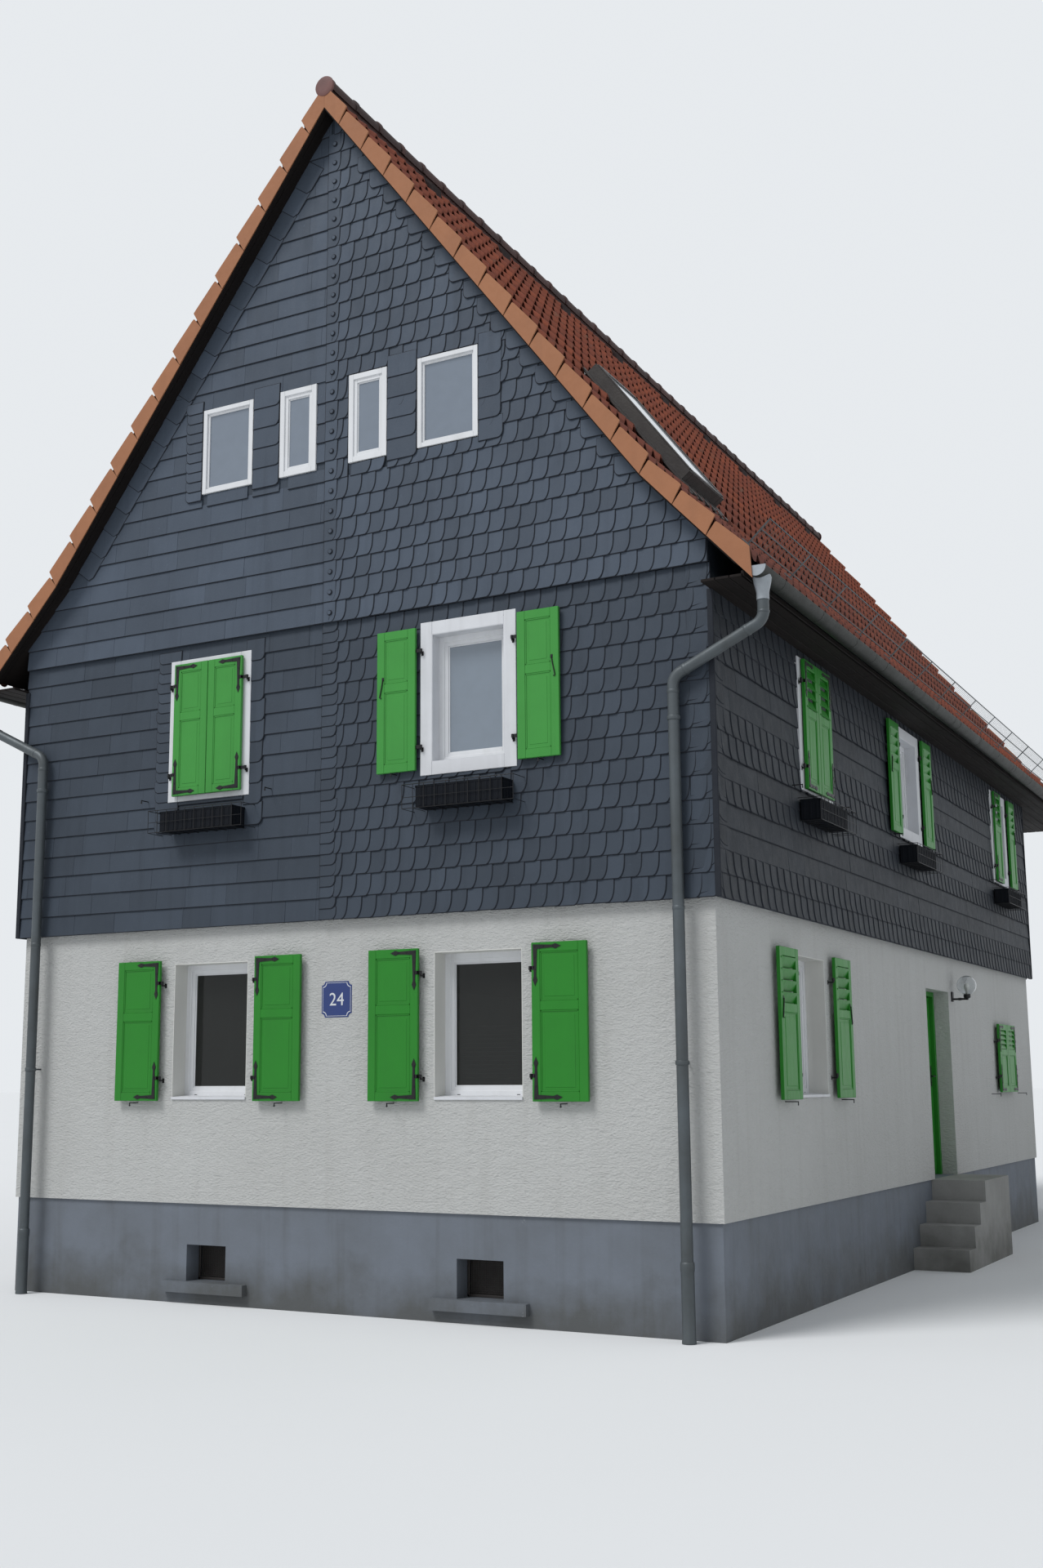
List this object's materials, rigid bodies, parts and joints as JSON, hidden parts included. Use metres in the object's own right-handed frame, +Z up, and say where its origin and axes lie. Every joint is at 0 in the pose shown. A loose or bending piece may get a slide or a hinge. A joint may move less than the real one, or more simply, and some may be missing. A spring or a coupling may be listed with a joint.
{
  "type": "slate-clad gable house",
  "caption": "Old town house with rendered ground floor, slate-hung upper floor and gable, steep clay-tiled roof and hinged green shutters.",
  "frame": {"origin": "on the ground at the middle of the house's bounding box", "axes": "+X to the right along the street front as seen from the street, +Y from the front gable back to the rear gable along the ridge, +Z up"},
  "size_m": [7.92, 14.44, 10.7687],
  "materials": {
    "plinth_paint": "blue-grey masonry paint on smooth cement render, matt, scuffed",
    "render": "off-white rough-cast render, matt",
    "floor_boards": "plain timber boards",
    "slate": "dark blue-grey natural slate, satin",
    "clay_tile": "weathered red-brown interlocking clay tiles",
    "ridge_clay": "dark weathered clay ridge tiles",
    "verge_clay": "smooth orange-tan clay verge tiles",
    "dark_boards": "dark brown stained boards",
    "roof_window_metal": "dark brown painted sheet metal",
    "zinc": "weathered zinc-grey sheet metal",
    "white_frame": "white plastic window profile",
    "white_boards": "white painted boards",
    "window_pane": "clear glass, dark rooms behind",
    "black_plastic": "black plastic trough",
    "black_iron": "black painted iron",
    "clear_glass": "clear blown glass",
    "blue_enamel": "blue enamel with a white border",
    "green_paint": "bright green gloss paint on wood"
  },
  "bodies": {
    "house": {"attic_floor": "floor_boards", "box_baskets": "black_iron", "door_frame": "white_frame", "door_steps": "plinth_paint", "downpipes": "zinc", "eaves_boards": "dark_boards", "flower_boxes": "black_plastic", "gable_front": "slate", "gable_rear": "slate", "ground_floor": "floor_boards", "ground_wall_front": "render", "ground_wall_left": "render", "ground_wall_rear": "render", "ground_wall_right_far": "render", "ground_wall_right_near": "render", "gutters": "zinc", "lamp_globe": "clear_glass", "number_plate": "blue_enamel", "plinth_front": "plinth_paint", "plinth_left": "plinth_paint", "plinth_rear": "plinth_paint", "plinth_right": "plinth_paint", "ridge_tiles": "ridge_clay", "roof_deck": "dark_boards", "roof_tiles_left": "clay_tile", "roof_tiles_right": "clay_tile", "roof_window": "roof_window_metal", "shutter_pintles": "black_iron", "snow_guard": "zinc", "upper_floor": "floor_boards", "upper_wall_front": "slate", "upper_wall_left": "slate", "upper_wall_rear": "slate", "upper_wall_right": "slate", "verge_tiles": "verge_clay", "wall_lamp": "black_iron", "wall_over_door": "render", "window_frames": "white_frame", "window_glass": "window_pane", "window_surrounds": "white_boards"},
    "entrance_door": {"entrance_door": "green_paint"},
    "shutter_ground_left_a": {"shutter_ground_left_a": "green_paint"},
    "shutter_ground_left_b": {"shutter_ground_left_b": "green_paint"},
    "shutter_ground_right_a": {"shutter_ground_right_a": "green_paint"},
    "shutter_ground_right_b": {"shutter_ground_right_b": "green_paint"},
    "shutter_side_near_a": {"shutter_side_near_a": "green_paint"},
    "shutter_side_near_b": {"shutter_side_near_b": "green_paint"},
    "shutter_side_far_a": {"shutter_side_far_a": "green_paint"},
    "shutter_side_far_b": {"shutter_side_far_b": "green_paint"},
    "shutter_upper_left_a": {"shutter_upper_left_a": "green_paint"},
    "shutter_upper_left_b": {"shutter_upper_left_b": "green_paint"},
    "shutter_upper_right_a": {"shutter_upper_right_a": "green_paint"},
    "shutter_upper_right_b": {"shutter_upper_right_b": "green_paint"},
    "shutter_upper_side_near_a": {"shutter_upper_side_near_a": "green_paint"},
    "shutter_upper_side_near_b": {"shutter_upper_side_near_b": "green_paint"},
    "shutter_upper_side_mid_a": {"shutter_upper_side_mid_a": "green_paint"},
    "shutter_upper_side_mid_b": {"shutter_upper_side_mid_b": "green_paint"},
    "shutter_upper_side_far_a": {"shutter_upper_side_far_a": "green_paint"},
    "shutter_upper_side_far_b": {"shutter_upper_side_far_b": "green_paint"}
  },
  "joints": [
    {"name": "entrance_door_hinge", "type": "hinge", "parent": "house", "child": "entrance_door", "pos_m": [3.14, -0.757, 0.9], "axis": [0, 0, 1], "range_deg": [0, 95]},
    {"name": "ground_left_a_hinge", "type": "hinge", "parent": "house", "child": "shutter_ground_left_a", "pos_m": [-1.732, -7.003, 2], "axis": [0, 0, 1], "range_deg": [0, 180]},
    {"name": "ground_left_b_hinge", "type": "hinge", "parent": "house", "child": "shutter_ground_left_b", "pos_m": [-0.748, -7.003, 2], "axis": [0, 0, -1], "range_deg": [0, 180]},
    {"name": "ground_right_a_hinge", "type": "hinge", "parent": "house", "child": "shutter_ground_right_a", "pos_m": [0.903, -7.003, 2], "axis": [0, 0, 1], "range_deg": [0, 180]},
    {"name": "ground_right_b_hinge", "type": "hinge", "parent": "house", "child": "shutter_ground_right_b", "pos_m": [1.887, -7.003, 2], "axis": [0, 0, -1], "range_deg": [0, 180]},
    {"name": "side_near_a_hinge", "type": "hinge", "parent": "house", "child": "shutter_side_near_a", "pos_m": [3.453, -5.242, 2], "axis": [0, 0, 1], "range_deg": [0, 180]},
    {"name": "side_near_b_hinge", "type": "hinge", "parent": "house", "child": "shutter_side_near_b", "pos_m": [3.453, -4.258, 2], "axis": [0, 0, -1], "range_deg": [0, 180]},
    {"name": "side_far_a_hinge", "type": "hinge", "parent": "house", "child": "shutter_side_far_a", "pos_m": [3.453, 2.408, 2], "axis": [0, 0, -1], "range_deg": [0, 180]},
    {"name": "side_far_b_hinge", "type": "hinge", "parent": "house", "child": "shutter_side_far_b", "pos_m": [3.453, 3.392, 2], "axis": [0, 0, 1], "range_deg": [0, 180]},
    {"name": "upper_left_a_hinge", "type": "hinge", "parent": "house", "child": "shutter_upper_left_a", "pos_m": [-1.69, -7.05, 4.8], "axis": [0, 0, -1], "range_deg": [0, 180]},
    {"name": "upper_left_b_hinge", "type": "hinge", "parent": "house", "child": "shutter_upper_left_b", "pos_m": [-0.844, -7.05, 4.8], "axis": [0, 0, 1], "range_deg": [0, 180]},
    {"name": "upper_right_a_hinge", "type": "hinge", "parent": "house", "child": "shutter_upper_right_a", "pos_m": [0.93, -7.05, 4.8], "axis": [0, 0, 1], "range_deg": [0, 180]},
    {"name": "upper_right_b_hinge", "type": "hinge", "parent": "house", "child": "shutter_upper_right_b", "pos_m": [1.776, -7.05, 4.8], "axis": [0, 0, -1], "range_deg": [0, 180]},
    {"name": "upper_side_near_a_hinge", "type": "hinge", "parent": "house", "child": "shutter_upper_side_near_a", "pos_m": [3.5, -4.993, 4.8], "axis": [0, 0, -1], "range_deg": [0, 180]},
    {"name": "upper_side_near_b_hinge", "type": "hinge", "parent": "house", "child": "shutter_upper_side_near_b", "pos_m": [3.5, -4.147, 4.8], "axis": [0, 0, 1], "range_deg": [0, 180]},
    {"name": "upper_side_mid_a_hinge", "type": "hinge", "parent": "house", "child": "shutter_upper_side_mid_a", "pos_m": [3.5, -1.803, 4.8], "axis": [0, 0, 1], "range_deg": [0, 180]},
    {"name": "upper_side_mid_b_hinge", "type": "hinge", "parent": "house", "child": "shutter_upper_side_mid_b", "pos_m": [3.5, -0.957, 4.8], "axis": [0, 0, -1], "range_deg": [0, 180]},
    {"name": "upper_side_far_a_hinge", "type": "hinge", "parent": "house", "child": "shutter_upper_side_far_a", "pos_m": [3.5, 2.647, 4.8], "axis": [0, 0, -1], "range_deg": [0, 180]},
    {"name": "upper_side_far_b_hinge", "type": "hinge", "parent": "house", "child": "shutter_upper_side_far_b", "pos_m": [3.5, 3.493, 4.8], "axis": [0, 0, -1], "range_deg": [0, 180]}
  ]
}
